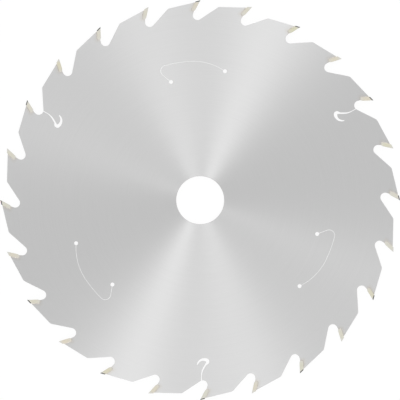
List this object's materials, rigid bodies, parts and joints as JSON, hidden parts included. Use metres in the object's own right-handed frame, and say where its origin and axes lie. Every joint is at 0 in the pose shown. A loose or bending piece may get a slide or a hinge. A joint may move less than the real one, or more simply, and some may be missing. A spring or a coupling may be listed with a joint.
{
  "type": "circular saw blade",
  "caption": "Flat toothed steel disc with brazed carbide cutting tips, a plain round bore, hooked expansion slots and curved noise slits, for ripping wood.",
  "frame": {"origin": "centre of the bore, on the middle plane of the plate", "axes": "+Z along the bore, towards the face that the picture shows; +Y through the first tooth's cutting corner, whose cutting face looks along +X"},
  "size_m": [0.25, 0.25, 0.0032],
  "materials": {
    "plate_steel": "ground in rings about the bore, bare steel",
    "carbide": "ground cemented carbide, warm grey-gold sides and dark bevels",
    "braze": "heat-tinted braze"
  },
  "bodies": {
    "root": {"saw_plate": "plate_steel", "carbide_tip_01": "carbide", "carbide_tip_02": "carbide", "carbide_tip_03": "carbide", "carbide_tip_04": "carbide", "carbide_tip_05": "carbide", "carbide_tip_06": "carbide", "carbide_tip_07": "carbide", "carbide_tip_08": "carbide", "carbide_tip_09": "carbide", "carbide_tip_10": "carbide", "carbide_tip_11": "carbide", "carbide_tip_12": "carbide", "carbide_tip_13": "carbide", "carbide_tip_14": "carbide", "carbide_tip_15": "carbide", "carbide_tip_16": "carbide", "carbide_tip_17": "carbide", "carbide_tip_18": "carbide", "carbide_tip_19": "carbide", "carbide_tip_20": "carbide", "carbide_tip_21": "carbide", "carbide_tip_22": "carbide", "carbide_tip_23": "carbide", "carbide_tip_24": "carbide", "braze_joint_01": "braze", "braze_joint_02": "braze", "braze_joint_03": "braze", "braze_joint_04": "braze", "braze_joint_05": "braze", "braze_joint_06": "braze", "braze_joint_07": "braze", "braze_joint_08": "braze", "braze_joint_09": "braze", "braze_joint_10": "braze", "braze_joint_11": "braze", "braze_joint_12": "braze", "braze_joint_13": "braze", "braze_joint_14": "braze", "braze_joint_15": "braze", "braze_joint_16": "braze", "braze_joint_17": "braze", "braze_joint_18": "braze", "braze_joint_19": "braze", "braze_joint_20": "braze", "braze_joint_21": "braze", "braze_joint_22": "braze", "braze_joint_23": "braze", "braze_joint_24": "braze"}
  },
  "joints": []
}
